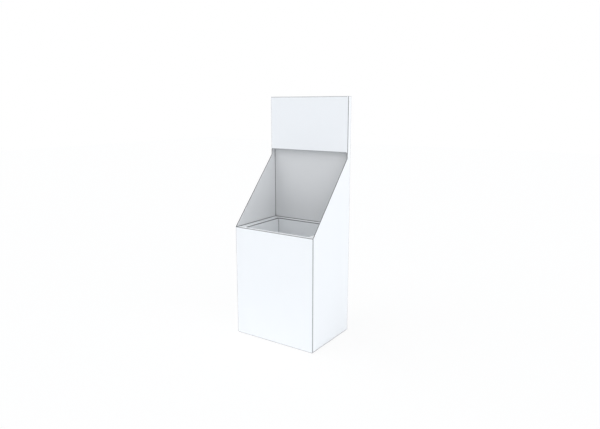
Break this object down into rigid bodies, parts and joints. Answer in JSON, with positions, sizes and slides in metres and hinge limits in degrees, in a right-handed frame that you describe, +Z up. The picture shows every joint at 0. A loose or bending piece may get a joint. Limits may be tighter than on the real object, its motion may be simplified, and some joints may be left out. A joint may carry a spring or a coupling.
{
  "type": "cardboard display stand",
  "caption": "Free-standing corrugated board floor display with a tall back, a header panel, sloping sides and an open bin on top of its body.",
  "frame": {"origin": "on the floor, at the middle of the base", "axes": "+Z up, +X across the front to the right of someone who faces the front, +Y from the front to the back"},
  "size_m": [0.55, 0.4, 1.43],
  "materials": {
    "white_board": "matte",
    "support_board": "matte"
  },
  "bodies": {
    "root": {"body_wrap": "white_board", "header_card": "white_board", "dump_tray": "white_board", "support_long": "support_board", "support_cross_left": "support_board", "support_cross_right": "support_board"}
  },
  "joints": []
}
